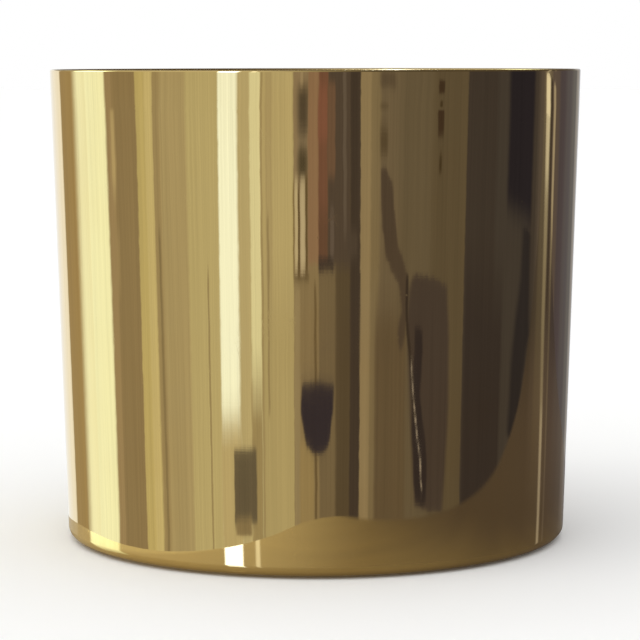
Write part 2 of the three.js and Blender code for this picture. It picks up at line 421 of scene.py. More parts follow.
def liner_wall(wall_foot, flange_foot, corner_top):
    """The wall's rows up its outside and down its inside, both straight and at the same
    heights, how much the radius grows with the height, and the slots' end rows."""
    heights, slot_first, slot_last = wall_heights(wall_foot[1], flange_foot[1])
    share = (heights - heights[0]) / (heights[-1] - heights[0])
    slope = (flange_foot[0] - wall_foot[0]) / (heights[-1] - heights[0])
    outer = np.column_stack([wall_foot[0] + (flange_foot[0] - wall_foot[0]) * share, heights])
    inner = np.column_stack([corner_top[0] + (heights - corner_top[1]) * slope, heights])
    return outer, inner[::-1], slope, slot_first, slot_last


def liner_angles(r, on_floor):
    """Angles of the liner's points: even on the wall, and gathered at the ribs' sides on
    the floor."""
    gathered = column_angles(r)
    first = np.argmin(np.abs(gathered[0]))
    gathered = np.mod(np.roll(gathered, -first, axis=1), 2 * np.pi)
    even = np.linspace(0, 2 * np.pi, LINER_AROUND, endpoint=False)
    return np.where(on_floor, gathered, even[None])


def shape_slots(t, r, z, on_wall, slope):
    """Moves the wall's points near each finger slot, along the wall's slope, so that the
    edge of the slot's box becomes the slot."""
    slot_z = FLANGE_Z - GRIP_DROP - GRIP_HEIGHT / 2
    slot_half_turn = SLOT_COLUMNS / 2 * 2 * np.pi / LINER_AROUND
    for turn in SLOT_TURNS:
        off = np.mod(t - turn + np.pi, 2 * np.pi) - np.pi
        x = off / slot_half_turn * GRIP_LENGTH / 2
        y = z - slot_z
        near = on_wall & (np.abs(x) < SLOT_REACH)
        new_x, new_y = round_slot(x, y)
        t = np.where(near, turn + new_x / (GRIP_LENGTH / 2) * slot_half_turn, t)
        r = np.where(near, r + (new_y - y) * slope, r)
        z = np.where(near, slot_z + new_y, z)
    return t, r, z


def slotted_faces(row_count, outer_rows, inner_rows):
    """The grid's quads without those inside the finger slots, and each slot's tunnel."""
    quads = grid_faces(row_count, LINER_AROUND).reshape(row_count - 1, LINER_AROUND, 4)
    half = SLOT_COLUMNS // 2
    keep = np.ones(quads.shape[:2], bool)
    tunnels = []
    for turn in SLOT_TURNS:
        middle = int(round(turn / (2 * np.pi) * LINER_AROUND))
        columns = np.arange(middle - half, middle + half) % LINER_AROUND
        keep[outer_rows[0]:outer_rows[1], columns] = False
        keep[inner_rows[0]:inner_rows[1], columns] = False
        tunnels.append(slot_tunnel(middle, half, outer_rows, inner_rows))
    return np.concatenate([quads[keep], *tunnels])


def slot_tunnel(middle, half, outer_rows, inner_rows):
    """Quads that join a slot's edge on the wall's outside to the same edge on its inside."""
    def loop(bottom, top):
        """Points round the slot's box: along the bottom, up, back along the top, down."""
        across = np.arange(-half, half)
        up = np.arange(SLOT_ROWS)
        step = 1 if top > bottom else -1
        rows = np.r_[np.full(2 * half, bottom), bottom + step * up,
                     np.full(2 * half, top), top - step * up]
        columns = np.r_[across, np.full(SLOT_ROWS, half), -across, np.full(SLOT_ROWS, -half)]
        return rows * LINER_AROUND + (middle + columns) % LINER_AROUND

    outer = loop(outer_rows[0], outer_rows[1])
    inner = loop(inner_rows[1], inner_rows[0])
    return np.stack([outer, np.roll(outer, -1), np.roll(inner, -1), inner], axis=-1)


def liner():
    """The moulded liner: its section turned about the axis, with ribs raised from its
    floor and two finger slots through its wall."""
    base, wall_foot, flange, inner_corner, floor, rib_end = liner_sections()
    outer_wall, inner_wall, slope, slot_first, slot_last = liner_wall(
        wall_foot, flange[0], inner_corner[0])
    parts = [base[1:-1], outer_wall, flange[1:-1], inner_wall[1:-1], inner_corner, floor[:-1]]
    rows = np.concatenate(parts)
    starts = np.cumsum([0] + [len(part) for part in parts])
    index = np.arange(len(rows))[:, None]
    on_wall = (index >= starts[1]) & (index < starts[2]) | (index >= starts[3]) & (index < starts[4])
    on_floor = index >= starts[5]

    t = liner_angles(rows[:, 0], on_floor)
    r, z = [np.repeat(rows[:, side:side + 1], LINER_AROUND, axis=1) for side in (0, 1)]
    t, r, z = shape_slots(t, r, z, on_wall, slope)
    x, y = r * np.cos(t), r * np.sin(t)
    z = z + np.where(on_floor, rib_height(x, y, rib_end), 0)

    ring = np.stack([x, y, z], axis=-1).reshape(-1, 3)
    poles = np.array([[0, 0, base[0, 1]], [0, 0, floor[-1, 1]]])
    outer_rows = starts[1] + np.array([slot_first, slot_last])
    inner_last = starts[3] + len(inner_wall) - 2 - slot_first
    inner_rows = np.array([inner_last - SLOT_ROWS, inner_last])
    quads = slotted_faces(len(rows), outer_rows, inner_rows)
    last = (len(rows) - 1) * LINER_AROUND
    fans = [fan(0, LINER_AROUND, len(ring), False), fan(last, LINER_AROUND, len(ring) + 1, True)]
    return mesh_piece("moulded_liner", np.concatenate([ring, poles]), quads, np.concatenate(fans))


# ---- Feet ----

FOOT_AROUND = 96
FELT_EDGE, FELT_FUZZ = 0.35 * MM, 0.004
FILM_EDGE, FILM_FUZZ = 0.06 * MM, 0.002


def foot_disc(name, low, high, edge, fuzz, seed):
    """A disc between two corners, its edge rounded and its outline uneven by fuzz:
    r (1 + fuzz (cos 5t + cos 11t + cos 23t)) with phases that differ from foot to foot."""
    radius = (high.x - low.x) / 2
    phases = np.random.default_rng(seed).uniform(0, 2 * np.pi, 3)
    lower = arc((radius - edge, low.z + edge), edge, -QUARTER, 0, 4)
    upper = arc((radius - edge, high.z - edge), edge, 0, QUARTER, 4)
    profile = joined(np.array([[0, low.z]]), 8, lower, 2, upper, 8, np.array([[0, high.z]]))

    def uneven(t, r, z):
        waves = sum(np.cos(k * t + p) for k, p in zip((5, 11, 23), phases))
        return r * (1 - fuzz * (3 + waves)), z

    points, quads, triangles = turned(profile, FOOT_AROUND, uneven)
    centre = np.array([(low.x + high.x) / 2, (low.y + high.y) / 2, 0])
    return mesh_piece(name, points + centre, quads, triangles)


# ---- Materials ----


class Signal:
    """A socket that a node gives out. Arithmetic on it adds a Math node."""

    def __init__(self, shader, socket):
        self.shader = shader
        self.socket = socket

    def maths(self, operation, *values):
        return self.shader.node("ShaderNodeMath", {"operation": operation}, dict(enumerate(values)))

    def __add__(self, other):
        return self.maths("ADD", self, other)

    def __sub__(self, other):
        return self.maths("SUBTRACT", self, other)

    def __rsub__(self, other):
        return self.maths("SUBTRACT", other, self)

    def __mul__(self, other):
        return self.maths("MULTIPLY", self, other)

    def __truediv__(self, other):
        return self.maths("DIVIDE", self, other)

    def __pow__(self, other):
        return self.maths("POWER", self, other)

    __radd__ = __add__
    __rmul__ = __mul__


class Shader:
    """One node tree, and the one way that its nodes are made."""

    def __init__(self, tree):
        self.tree = tree
        tree.nodes.clear()

    def node(self, kind, settings=None, inputs=None, output=0):
        """Adds a node, sets it up, gives its sockets values or links, and returns the
        output asked for, if it has any."""
        made = self.tree.nodes.new(kind)
        for key, value in (settings or {}).items():
            if key == "stops":
                self.set_stops(made.color_ramp.elements, value)
            else:
                setattr(made, key, value)
        for key, value in (inputs or {}).items():
            if isinstance(value, Signal):
                self.tree.links.new(value.socket, made.inputs[key])
            else:
                made.inputs[key].default_value = value
        return Signal(self, made.outputs[output]) if made.outputs else None

    def set_stops(self, elements, stops):
        """Gives a colour ramp its stops, each a position and a colour."""
        while len(elements) < len(stops):
            elements.new(0.5)
        for element, (position, colour) in zip(elements, stops):
            element.position = position
            element.color = colour

    def place(self):
        """Where a point is on the object."""
        return self.node("ShaderNodeTexCoord", output="Object")

    def stretched(self, place, factors):
        return self.node("ShaderNodeVectorMath", {"operation": "MULTIPLY"}, {0: place, 1: factors})

    def noise(self, place, scale, detail=2.0, roughness=0.5):
        inputs = {"Vector": place, "Scale": scale, "Detail": detail, "Roughness": roughness}
        return self.node("ShaderNodeTexNoise", None, inputs)

    def ramp(self, value, low, high):
        """0 below low, 1 above high, and smooth between them."""
        inputs = {"Value": value, "From Min": low, "From Max": high}
        return self.node("ShaderNodeMapRange", {"interpolation_type": "SMOOTHSTEP"}, inputs)

    def blend(self, share, first, second):
        """A colour between two, by a share from 0 to 1."""
        settings = {"data_type": "RGBA", "clamp_factor": True}
        return self.node("ShaderNodeMix", settings, {0: share, 6: first, 7: second}, 2)

    def bump(self, height, depth):
        """A normal from a height of 0 to 1 that stands depth metres high."""
        inputs = {"Height": height, "Strength": 1.0, "Distance": depth}
        return self.node("ShaderNodeBump", None, inputs)


def material(name, make):
    """A material whose Principled shader's sockets are what make gives for its tree."""
    finish = bpy.data.materials.new(name)
    finish.use_nodes = True
    shader = Shader(finish.node_tree)
    surface = shader.node("ShaderNodeBsdfPrincipled", None, make(shader))
    shader.node("ShaderNodeOutputMaterial", None, {"Surface": surface})
    return finish


def hairlines(shader, place, turn, scale, keep):
    """Thin straight scratches along one direction: where a noise that is stretched along
    it is close to its middle value, and a broader noise lets them show."""
    turned_place = shader.node("ShaderNodeMapping", None, {"Vector": place, "Rotation": turn})
    grain = shader.noise(shader.stretched(turned_place, (scale, scale * 0.03, scale * 0.03)), 1.0)
    nearness = 1 - shader.ramp((grain - 0.5) * (grain - 0.5), 0.0, 0.00012)
    patches = shader.ramp(shader.noise(place, 55.0), keep, keep + 0.12)
    return nearness * patches


def polished_brass(shader):
    """Mirror-polished brass that has been handled: fine polishing lines round the pot,
    stray hairline scratches, faint smudges, a few pits, and a warmer bloom in patches.
    Inside it is spun and not polished, and its underside is scuffed."""
    place = shader.place()
    inside = shader.node("ShaderNodeAttribute", {"attribute_name": "inside"}, None, "Fac")
    underside = shader.node("ShaderNodeAttribute", {"attribute_name": "underside"}, None, "Fac")

    lines = shader.noise(shader.stretched(place, (14.0, 14.0, 1500.0)), 1.0, 3.0, 0.6)
    fine_lines = shader.noise(shader.stretched(place, (40.0, 40.0, 5200.0)), 1.0, 2.0)
    smudges = shader.ramp(shader.noise(place, 24.0, 5.0, 0.62), 0.48, 0.78)
    bloom = shader.ramp(shader.noise(place, 13.0, 4.0, 0.6), 0.42, 0.74)
    scratches = (
        hairlines(shader, place, (0.35, 0.2, 0.5), 520.0, 0.6)
        + hairlines(shader, place, (1.25, 0.5, 2.1), 430.0, 0.63)
        + hairlines(shader, place, (0.1, 1.45, 0.9), 610.0, 0.64)
    )
    pits = shader.node("ShaderNodeTexVoronoi", None, {"Vector": place, "Scale": 260.0})
    pits = 1 - shader.ramp(pits, 0.04, 0.10)
    rare = shader.ramp(shader.noise(place, 90.0), 0.6, 0.66)
    pits = pits * rare

    clean = (0.86, 0.665, 0.315, 1)
    warm = (0.80, 0.575, 0.24, 1)
    spun = (0.74, 0.56, 0.27, 1)
    dull = (0.52, 0.37, 0.18, 1)
    colour = shader.blend(bloom * 0.45, clean, warm)
    colour = shader.blend(smudges * 0.25, colour, (0.80, 0.64, 0.36, 1))
    colour = shader.blend(inside * (0.75 + bloom * 0.25), colour, spun)
    colour = shader.blend(underside * (0.35 + lines * 0.5), colour, dull)

    roughness = 0.015 + smudges * 0.035 + lines * 0.02 + scratches * 0.06 + pits * 0.1
    roughness = roughness + inside * 0.24 + underside * 0.2

    height = lines * 0.55 + fine_lines * 0.25 + inside * lines * 14.0 + underside * lines * 10.0
    height = height - scratches * 0.8 - pits * 0.15 + shader.noise(place, 130.0, 2.0) * 4.0
    normal = shader.bump(height, 5.0e-7)
    return {"Base Color": colour, "Roughness": roughness, "Normal": normal, "Metallic": 1.0}


def dark_plastic(shader):
    """Matt moulded plastic, nearly black: a fine spark-eroded grain, faint flow marks, and
    pale dust that has settled where it faces up."""
    place = shader.place()
    grain = shader.noise(place, 2600.0, 2.0)
    flow = shader.noise(shader.stretched(place, (30.0, 30.0, 9.0)), 1.0, 3.0)
    scuffs = hairlines(shader, place, (0.4, 1.2, 0.3), 700.0, 0.55)
    up = shader.node("ShaderNodeNewGeometry", None, None, "Normal")
    up = shader.node("ShaderNodeSeparateXYZ", None, {0: up}, "Z")
    dust = shader.ramp(up, 0.5, 0.98) * shader.ramp(shader.noise(place, 160.0, 4.0, 0.7), 0.42, 0.72)
    colour = shader.blend(flow, (0.016, 0.0145, 0.013, 1), (0.024, 0.0215, 0.019, 1))
    colour = shader.blend(scuffs * 0.35, colour, (0.07, 0.066, 0.06, 1))
    colour = shader.blend(dust * 0.3, colour, (0.16, 0.145, 0.12, 1))
    roughness = 0.46 + flow * 0.1 + dust * 0.2 + scuffs * 0.1
    normal = shader.bump(grain, 1.4e-5)
    return {"Base Color": colour, "Roughness": roughness, "Normal": normal, "Metallic": 0.0}


def brown_felt(shader):
    """Pressed wool felt: matted fibres lying every way, lighter where they catch."""
    place = shader.place()
    fibres = shader.noise(shader.stretched(place, (900.0, 260.0, 900.0)), 1.0, 4.0, 0.7)
    crossing = shader.noise(shader.stretched(place, (260.0, 1000.0, 800.0)), 1.0, 4.0, 0.7)
    mottle = shader.noise(place, 300.0, 3.0)
    mat = fibres * 0.5 + crossing * 0.5
    colour = shader.blend(shader.ramp(mat, 0.35, 0.65), (0.05, 0.035, 0.025, 1), (0.13, 0.095, 0.07, 1))
    colour = shader.blend(mottle * 0.3, colour, (0.09, 0.07, 0.055, 1))
    return {
        "Base Color": colour,
        "Roughness": 0.9 + mottle * 0.08,
        "Normal": shader.bump(mat, 1.6e-4),
        "Sheen Weight": 0.35,
        "Metallic": 0.0,
    }


def pale_adhesive(shader):
    """Clear adhesive film on a pale carrier, a little cloudy."""
    place = shader.place()
    cloud = shader.noise(place, 420.0, 3.0)
    colour = shader.blend(cloud, (0.66, 0.61, 0.5, 1), (0.5, 0.44, 0.34, 1))
    return {
        "Base Color": colour,
        "Roughness": 0.28 + cloud * 0.2,
        "Normal": shader.bump(cloud, 1.0e-5),
        "Metallic": 0.0,
    }


def pale_floor(shader):
    """A plain pale paper sweep."""
    place = shader.place()
    tone = shader.noise(place, 3.0)
    colour = shader.blend(tone, (0.90, 0.90, 0.895, 1), (0.92, 0.92, 0.915, 1))
    return {"Base Color": colour, "Roughness": 0.9 + tone * 0.05, "Metallic": 0.0}


# The table top in its own turned frame: where its left end is at the back and at the
# front, its back and front sides, its right end, and how soft its corners are.
TABLE_TURN = math.radians(28.4)
TABLE_LEFT_BACK, TABLE_LEFT_FRONT = -0.096, -0.072
TABLE_BACK, TABLE_FRONT = 0.064, -0.137
TABLE_RIGHT = 2.4
TABLE_BENDS = (0.03, 0.075, 0.045, 0.03)
TABLE_LIFT = 0.05 * MM  # above the floor


def table_top(shader):
    """A warm varnished table top with painted light on it: lighter on the side of the window, a
    painted highlight along its left end, and painted shade far from the pot. It fades out along
    its front edge, and its own glow stands in for the light that reaches it under the pot's heel."""
    place = shader.place()
    along = (math.cos(TABLE_TURN), math.sin(TABLE_TURN), 0)
    away = (-math.sin(TABLE_TURN), math.cos(TABLE_TURN), 0)
    across = shader.node("ShaderNodeVectorMath", {"operation": "DOT_PRODUCT"}, {0: place, 1: along}, 1)
    deep = shader.node("ShaderNodeVectorMath", {"operation": "DOT_PRODUCT"}, {0: place, 1: away}, 1)
    grain = shader.noise(shader.stretched(place, (6.0, 70.0, 1.0)), 1.0, 3.0)
    # Painted light: the top goes from lighter on the window side to painted shade on the right.
    side = shader.node("ShaderNodeSeparateXYZ", None, {0: place}, "X")
    shade = shader.ramp(side + grain * 0.03, -0.065, 0.13)
    colour = shader.blend(shade, (0.205, 0.17, 0.102, 1), (0.037, 0.030, 0.031, 1))
    # Painted shade: the top grows darker far from the pot.
    distance = shader.node("ShaderNodeVectorMath", {"operation": "LENGTH"}, {0: place}, 1)
    colour = shader.blend(shader.ramp(distance, 0.22, 0.6), colour, (0.013, 0.011, 0.011, 1))
    # Painted highlight along the edge of the table's left end.
    left_end_highlight = shader.ramp(across, -0.080, -0.084)
    colour = shader.blend(left_end_highlight * 0.7, colour, (0.28, 0.25, 0.165, 1))
    solid = shader.ramp(deep, TABLE_FRONT - 1 * MM, TABLE_FRONT + 7 * MM)
    return {
        "Base Color": colour, "Roughness": 0.04 + grain * 0.04, "Metallic": 0.0,
        "Emission Color": colour, "Emission Strength": 1.0, "Alpha": solid,
    }


# ---- What stands round the pot ----

# The room that the polish mirrors. First its upright bands, each from an azimuth on: that
# azimuth, how soft the edge there is, both in degrees, and the colour. 0 is in front of
# the pot and +90 on its right.
BANDS = (
    (-144, 2.0, (0.385, 0.31, 0.19)),
    (-126.4, 8.0, (1.03, 1.18, 1.18)),
    (-116.5, 1.0, (1.05, 1.24, 1.28)),
    (-101.8, 2.0, (0.37, 0.315, 0.26)),
    (-97, 3.0, (0.305, 0.262, 0.21)),
    (-82.5, 1.0, (0.57, 0.545, 0.37)),
    (-77.5, 1.5, (0.62, 0.60, 0.45)),
    (-73, 1.0, (0.38, 0.34, 0.27)),
    (-69, 2.0, (0.44, 0.41, 0.335)),
    (-56.5, 1.5, (0.54, 0.53, 0.42)),
    (-41.5, 1.0, (1.05, 1.27, 1.65)),
    (-33, 1.5, (0.53, 0.515, 0.43)),
    (-27.5, 1.0, (0.79, 0.86, 0.82)),
    (-22.9, 1.0, (0.51, 0.485, 0.385)),
    (-20.8, 1.0, (0.46, 0.43, 0.35)),
    (-18, 1.5, (0.53, 0.51, 0.41)),
    (-9.0, 0.8, (0.27, 0.235, 0.20)),
    (1.8, 0.8, (0.19, 0.165, 0.15)),
    (8.5, 1.5, (0.108, 0.092, 0.086)),
    (14.5, 1.0, (0.064, 0.055, 0.067)),
    (19.0, 0.7, (0.295, 0.262, 0.235)),
    (23.6, 1.0, (0.225, 0.20, 0.18)),
    (27.6, 2.0, (0.168, 0.148, 0.148)),
    (36, 6.0, (0.142, 0.127, 0.126)),
    (51, 4.0, (0.118, 0.103, 0.098)),
    (68, 1.0, (0.055, 0.050, 0.067)),
    (84, 2.0, (0.062, 0.059, 0.08)),
    (107, 3.0, (0.060, 0.055, 0.072)),
    (112.5, 4.0, (0.10, 0.09, 0.11)),
    (116.5, 3.0, (0.17, 0.155, 0.16)),
    (123.5, 3.0, (0.115, 0.10, 0.125)),
    (131.5, 3.0, (0.083, 0.076, 0.12)),
    (140, 6.0, (0.105, 0.105, 0.15)),
    (150, 8.0, (0.145, 0.15, 0.18)),
    (159, 4.0, (0.30, 0.30, 0.32)),
    (166, 6.0, (0.45, 0.46, 0.50)),
)
BEHIND = (0.96, 0.98, 1.0)  # before the first of them

# Then what stands or hangs in front of the bands: the azimuths of its sides, the elevations
# of its bottom and top, how wide a border it fades over at its sides and at its ends, all in
# degrees, and its colour.
THINGS = {
    "sky in the narrow window": ((-41.5, -33), (5, 28), (1.0, 4.0), (7.6, 9.2, 13.0)),
    "sky beside it": ((-27, -25), (5, 28), (1.0, 4.0), (2.3, 2.5, 2.7)),
    "sky in the wide window": ((-127, -102), (6, 28), (3.0, 4.0), (2.8, 3.5, 3.2)),
    "wall under the narrow window": ((-42, -32.5), (-50, -11.2), (1.0, 1.6), (0.54, 0.51, 0.41)),
    "wall beside it": ((-28, -23), (-50, -10.6), (1.0, 2.0), (0.37, 0.335, 0.26)),
    "wall in the shade": ((-22.5, -9.0), (-50, -8.6), (1.0, 2.5), (0.47, 0.45, 0.355)),
    "gap by the door": ((-71.2, -70.0), (-50, -6.5), (0.5, 0.5), (0.27, 0.24, 0.19)),
    "joint in the wall": ((-47.5, -46.7), (-50, -7.8), (0.5, 0.5), (0.36, 0.33, 0.26)),
    "curtain's fold": ((-98.6, -96), (-5.2, -3.2), (2.2, 1.0), (0.50, 0.45, 0.36)),
    "curtain's lower fold": ((-97.6, -95), (-7.4, -6.0), (2.2, 0.8), (0.36, 0.31, 0.25)),
    "curtain cord": ((-20.2, -19.4), (-11.2, -6.8), (0.5, 0.5), (0.33, 0.30, 0.24)),
    "curtain seam": ((-22.9, -22.0), (-50, 6), (0.6, 1.0), (0.37, 0.34, 0.27)),
    "stool": ((-36.2, -25.9), (-13.7, -12.0), (0.8, 0.25), (0.14, 0.13, 0.13)),
    "stool's foot": ((-35.8, -28.5), (-14.3, -13.5), (1.5, 0.5), (0.27, 0.235, 0.19)),
    "wall behind the leaves": ((-9.0, -2.5), (-8.3, 6), (0.6, 0.2), (0.29, 0.25, 0.235)),
    "leaves": ((-7.2, -3.2), (-5.8, -4.5), (2.0, 0.6), (0.245, 0.218, 0.22)),
    "upper leaves": ((-7.3, -2.7), (-5.0, -4.1), (3.2, 0.6), (0.095, 0.083, 0.085)),
    "lower leaves": ((-7.2, -3.0), (-6.15, -5.4), (2.8, 0.5), (0.09, 0.080, 0.072)),
    "slit above them": ((-6.1, -5.0), (-4.1, 6), (0.6, 0.3), (0.37, 0.33, 0.31)),
    "blind's edge": ((-9.3, -8.7), (-8.3, -6.2), (0.4, 0.5), (0.25, 0.21, 0.15)),
    "left blind": ((-8.6, -7.3), (-8.2, -6.2), (0.4, 0.5), (0.54, 0.52, 0.50)),
    "gap beside it": ((-7.2, -6.3), (-8.4, -6.3), (0.5, 0.4), (0.13, 0.105, 0.075)),
    "right blind": ((-6.1, -4.1), (-8.2, -6.2), (0.5, 0.5), (0.52, 0.505, 0.52)),
    "blind's cord": ((-3.9, -2.9), (-8.3, -6.1), (0.5, 0.4), (0.14, 0.113, 0.08)),
    "orange curtain": ((-2.8, 1.8), (-8.05, 6), (0.6, 0.1), (0.285, 0.206, 0.192)),
    "red curtain": ((1.6, 5.5), (-7.95, 6), (0.7, 0.12), (0.18, 0.102, 0.103)),
    "its bright fold": ((1.5, 5.2), (-5.2, -4.2), (1.2, 0.7), (0.225, 0.115, 0.118)),
    "its shaded end": ((1.7, 5.5), (-7.95, -6.8), (0.7, 0.8), (0.14, 0.088, 0.088)),
    "dark doorway": ((5.5, 14.6), (-8.1, 6), (0.8, 0.4), (0.090, 0.077, 0.092)),
    "brown cloth": ((5.3, 8.4), (-6.15, -4.1), (0.6, 0.4), (0.165, 0.115, 0.118)),
    "latch": ((6.4, 7.8), (-8.0, -6.7), (0.5, 0.4), (0.135, 0.12, 0.155)),
    "door frame": ((11.6, 12.9), (-7.2, 6), (0.6, 1.0), (0.124, 0.112, 0.14)),
    "door panel": ((13.2, 17.6), (-7.85, -7.1), (1.0, 0.3), (0.086, 0.075, 0.092)),
    "curtain's hem": ((-8.8, -2.2), (-8.46, -8.26), (1.2, 0.12), (0.155, 0.13, 0.105)),
    "hem's dark end": ((1.6, 7.8), (-8.2, -7.9), (1.2, 0.14), (0.058, 0.050, 0.066)),
    "light post": ((-8.6, -6.4), (-14.5, -8.5), (0.6, 0.3), (0.33, 0.30, 0.265)),
    "dark joint": ((-0.2, 0.8), (-14, -8.5), (0.5, 0.3), (0.16, 0.13, 0.10)),
    "light wall by the post": ((-6.6, -0.6), (-14.5, -12.0), (1.0, 0.5), (0.33, 0.285, 0.215)),
    "high twig": ((27.4, 30.8), (-5.4, -4.7), (1.6, 0.4), (0.105, 0.088, 0.08)),
    "top twig": ((27.4, 34.0), (-4.15, -3.6), (2.5, 0.4), (0.115, 0.098, 0.10)),
    "hanging cord": ((53.5, 56.2), (-4.65, -3.9), (1.0, 0.25), (0.056, 0.040, 0.038)),
    "its lower end": ((54.2, 55.5), (-5.55, -5.1), (0.6, 0.25), (0.062, 0.049, 0.038)),
    "low wall": ((26, 40), (-50, -8.8), (2.5, 1.5), (0.135, 0.113, 0.105)),
    "throw's upper fold": ((42.6, 48.0), (-8.8, -8.15), (1.5, 0.4), (0.052, 0.042, 0.052)),
    "chest": ((69, 90), (-50, -7.5), (2.5, 2.5), (0.044, 0.039, 0.055)),
    "coat": ((91, 108), (-5.6, 6), (3.0, 0.9), (0.023, 0.022, 0.044)),
}

# What has a shape of its own: the border that it fades over, its colour, and from its
# bottom to its top the elevation, and the azimuths of its left and right sides there.
SHAPES = {
    "basket": (0.9, (0.040, 0.036, 0.070), (
        (-12.25, -1.5, 3.2), (-12.15, -3.0, 4.6), (-12.0, -4.1, 5.6), (-11.75, -4.9, 6.6),
        (-11.16, -6.3, 7.4), (-10.66, -5.7, 7.9))),
    "branch": (1.2, (0.086, 0.072, 0.082), (
        (-9.72, 37.0, 38.5), (-9.43, 36.2, 39.5), (-9.02, 37.0, 40.2), (-8.7, 38.4, 41.2),
        (-8.31, 36.5, 41.2), (-8.05, 33.5, 40.6), (-7.75, 30.5, 38.5), (-7.4, 29.8, 36.0),
        (-6.93, 28.6, 35.2), (-6.54, 28.2, 33.8), (-6.14, 27.9, 33.2), (-5.75, 28.0, 30.4))),
    "throw": (2.4, (0.070, 0.060, 0.078), (
        (-13.0, 45.0, 58.5), (-12.0, 43.5, 60.0), (-11.2, 42.5, 60.8), (-10.5, 42.0, 61.0),
        (-9.0, 40.5, 60.5), (-8.4, 41.5, 59.8), (-8.0, 43.5, 59.0))),
    "throw's lower fold": (1.2, (0.038, 0.033, 0.050), (
        (-12.9, 45.3, 50.6), (-12.1, 44.0, 51.0), (-11.3, 43.4, 49.2), (-10.5, 43.6, 47.0),
        (-9.8, 44.2, 48.0), (-9.1, 44.4, 48.0))),
    "stalk": (0.7, (0.046, 0.039, 0.047), (
        (-11.2, 44.2, 45.6), (-10.4, 42.8, 44.2), (-9.6, 41.1, 42.5), (-8.9, 39.8, 41.0),
        (-8.1, 40.0, 41.2))),
    "coat's hem": (4.0, (0.030, 0.029, 0.047), (
        (-10.6, 96.0, 102.0), (-9.0, 97.0, 106.0), (-8.0, 98.5, 109.5), (-7.0, 101.5, 108.5),
        (-5.8, 102.0, 108.0))),
}

# A beaded cord, given as the shapes are, and how far apart its beads are in elevation.
BEADS = (0.5, (0.36, 0.35, 0.46), (
    (-12.65, 48.4, 49.2), (-12.36, 47.6, 48.5), (-12.09, 47.3, 48.3), (-11.77, 46.2, 47.1),
    (-11.31, 45.0, 45.9), (-10.78, 44.0, 44.8), (-10.54, 43.5, 44.2), (-10.0, 42.6, 43.2)))
BEAD_SPACING = 0.34

# Light in the gaps of a far door, as high above the horizon as it reaches below it.
GAPS = {
    "wide gap": (1.5, (0.42, 0.405, 0.40), (
        (-16.0, 122.8, 124.8), (-10.4, 121.2, 123.4), (-7.5, 119.2, 121.9),
        (-5.0, 118.5, 121.4), (-3.5, 117.8, 120.8), (-2.0, 117.0, 120.6))),
    "its foot": (1.4, (0.80, 0.79, 0.86), (
        (-16.0, 122.8, 124.8), (-10.4, 121.2, 123.4), (-9.4, 120.8, 123.0))),
    "its top": (1.2, (0.82, 0.83, 0.88), (
        (-4.4, 118.4, 120.9), (-3.5, 118.0, 120.7), (-2.0, 117.0, 120.6))),
    "edge beside it": (0.9, (0.060, 0.052, 0.058), (
        (-7.0, 122.9, 124.3), (-5.0, 122.2, 123.8), (-3.5, 121.6, 123.4), (-2.0, 121.5, 123.0))),
    "narrow gap": (1.1, (0.38, 0.355, 0.35), (
        (-6.3, 125.4, 127.0), (-5.0, 124.7, 126.6), (-2.0, 123.9, 126.0))),
    "its dim foot": (1.1, (0.21, 0.195, 0.21), (
        (-16.0, 128.4, 129.6), (-10.0, 127.0, 128.4), (-7.5, 126.1, 127.5), (-6.2, 125.6, 127.1))),
}

# Above and below all that, the elevations over which the ceiling and the floor come in.
CEILING_FROM, CEILING_FULL = 8.0, 13.0
FLOOR_FROM, FLOOR_FULL = -26.0, -60.0
ROOM_CEILING = (0.62, 0.60, 0.50)
DIM_CEILING = (0.085, 0.07, 0.055)
ROOM_FLOOR = (0.30, 0.27, 0.23)


def in_patch(shader, azimuth, elevation, sides, levels, border):
    """1 inside an upright patch of the room, and 0 outside it. Between them it fades with
    the distance into a border, sqrt(a^2 + b^2), where a and b are how far a point is into
    the border at the sides and at the ends, from 0 at its inner edge to 1 at its outer."""
    across = azimuth - sum(sides) / 2
    up = elevation - sum(levels) / 2
    a = (across.maths("ABSOLUTE", across) - (sides[1] - sides[0] - border[0]) / 2) / border[0]
    b = (up.maths("ABSOLUTE", up) - (levels[1] - levels[0] - border[1]) / 2) / border[1]
    a, b = a.maths("MAXIMUM", a, 0.0), b.maths("MAXIMUM", b, 0.0)
    return shader.ramp((a * a + b * b) ** 0.5, 1.0, 0.0)


def in_outline(shader, azimuth, elevation, border, outline):
    """1 between two sides that wander with the elevation, and 0 outside them. A ramp over
    the elevation holds both sides as shares of 360 degrees. Just beyond each end the sides
    change places, which closes the outline."""
    close = 0.12
    (low, *first), (high, *last) = outline[0], outline[-1]
    rows = ((low - close, *first[::-1]), *outline, (high + close, *last[::-1]))
    bottom, reach = low - close, high - low + 2 * close
    stops = [
        ((up - bottom) / reach, (left / 360 + 0.5, right / 360 + 0.5, 0, 1))
        for up, left, right in rows
    ]
    place = {"Fac": (elevation - bottom) / reach}
    level = shader.node("ShaderNodeValToRGB", {"stops": stops}, place)
    left, right = [
        shader.node("ShaderNodeSeparateColor", None, {0: level}, side) * 360 - 180
        for side in ("Red", "Green")
    ]
    beyond_left = shader.ramp(azimuth - left, -border / 2, border / 2)
    return beyond_left * shader.ramp(right - azimuth, -border / 2, border / 2)


